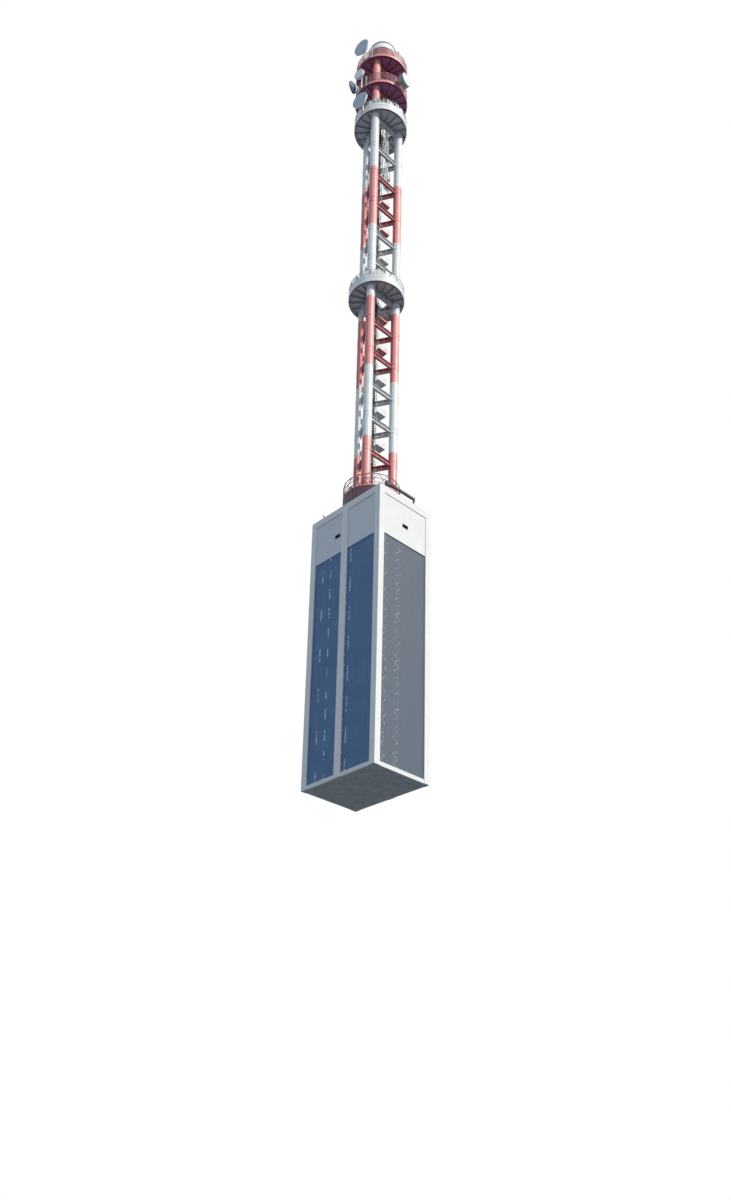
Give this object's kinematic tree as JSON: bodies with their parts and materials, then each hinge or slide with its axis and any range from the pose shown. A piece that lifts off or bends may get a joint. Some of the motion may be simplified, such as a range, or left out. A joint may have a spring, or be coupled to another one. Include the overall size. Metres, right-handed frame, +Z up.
{
  "type": "1:10 scale model of a radio mast",
  "caption": "1:10 scale model of a red and white three-legged radio mast with ring decks and dishes, standing on its tall screened equipment shaft.",
  "frame": {"origin": "middle of the shaft's underside", "axes": "+Z up, -Y the shaft's narrow front face, -X its wide left face"},
  "size_m": [1.1889, 1.456, 14.114],
  "materials": {
    "white_cladding": "white precast panels, smooth",
    "concrete": "plain concrete",
    "screen_mesh": "dark blue-grey louvre mesh",
    "frame_steel": "grey painted steel",
    "red_paint": "aviation red gloss paint, weathered",
    "white_paint": "white gloss paint, weathered",
    "galvanised": "galvanised steel",
    "feeder_jacket": "black cable jacket",
    "waveguide_jacket": "pale cable jacket",
    "dish_shell": "pale grey coated shell"
  },
  "bodies": {
    "root": {"base_drum": "red_paint", "base_railing": "red_paint", "beams_red": "red_paint", "beams_white": "white_paint", "coping": "white_cladding", "corner_piers": "white_cladding", "dish_edge_on": "dish_shell", "dish_low_left": "dish_shell", "dish_mounts": "white_paint", "dish_right": "dish_shell", "dish_shrouded": "dish_shell", "dish_top_left": "dish_shell", "feeders": "feeder_jacket", "floor_slab": "concrete", "frame_braces_front": "frame_steel", "frame_braces_left": "frame_steel", "frame_braces_rear": "frame_steel", "frame_braces_right": "frame_steel", "frame_columns": "frame_steel", "gantry_rail": "frame_steel", "head_cabin": "white_paint", "head_deck": "red_paint", "head_railing": "red_paint", "ladder": "galvanised", "lamp_drum": "galvanised", "lamps": "galvanised", "legs_band_1": "red_paint", "legs_band_2": "white_paint", "legs_band_3": "red_paint", "legs_band_4": "white_paint", "legs_band_5": "red_paint", "legs_band_6": "white_paint", "legs_band_7": "red_paint", "mid_deck": "white_paint", "mid_piers": "white_cladding", "mid_railing": "white_paint", "rests_red": "red_paint", "rests_white": "white_paint", "roof_slab": "concrete", "screen_front": "screen_mesh", "screen_rear": "screen_mesh", "screens_left": "screen_mesh", "screens_right": "screen_mesh", "sills": "white_cladding", "top_deck": "red_paint", "top_railing": "red_paint", "upper_deck": "white_paint", "upper_railing": "white_paint", "wall_front": "white_cladding", "wall_left": "white_cladding", "wall_rear": "white_cladding", "wall_right": "white_cladding", "waveguides": "waveguide_jacket"}
  },
  "joints": []
}
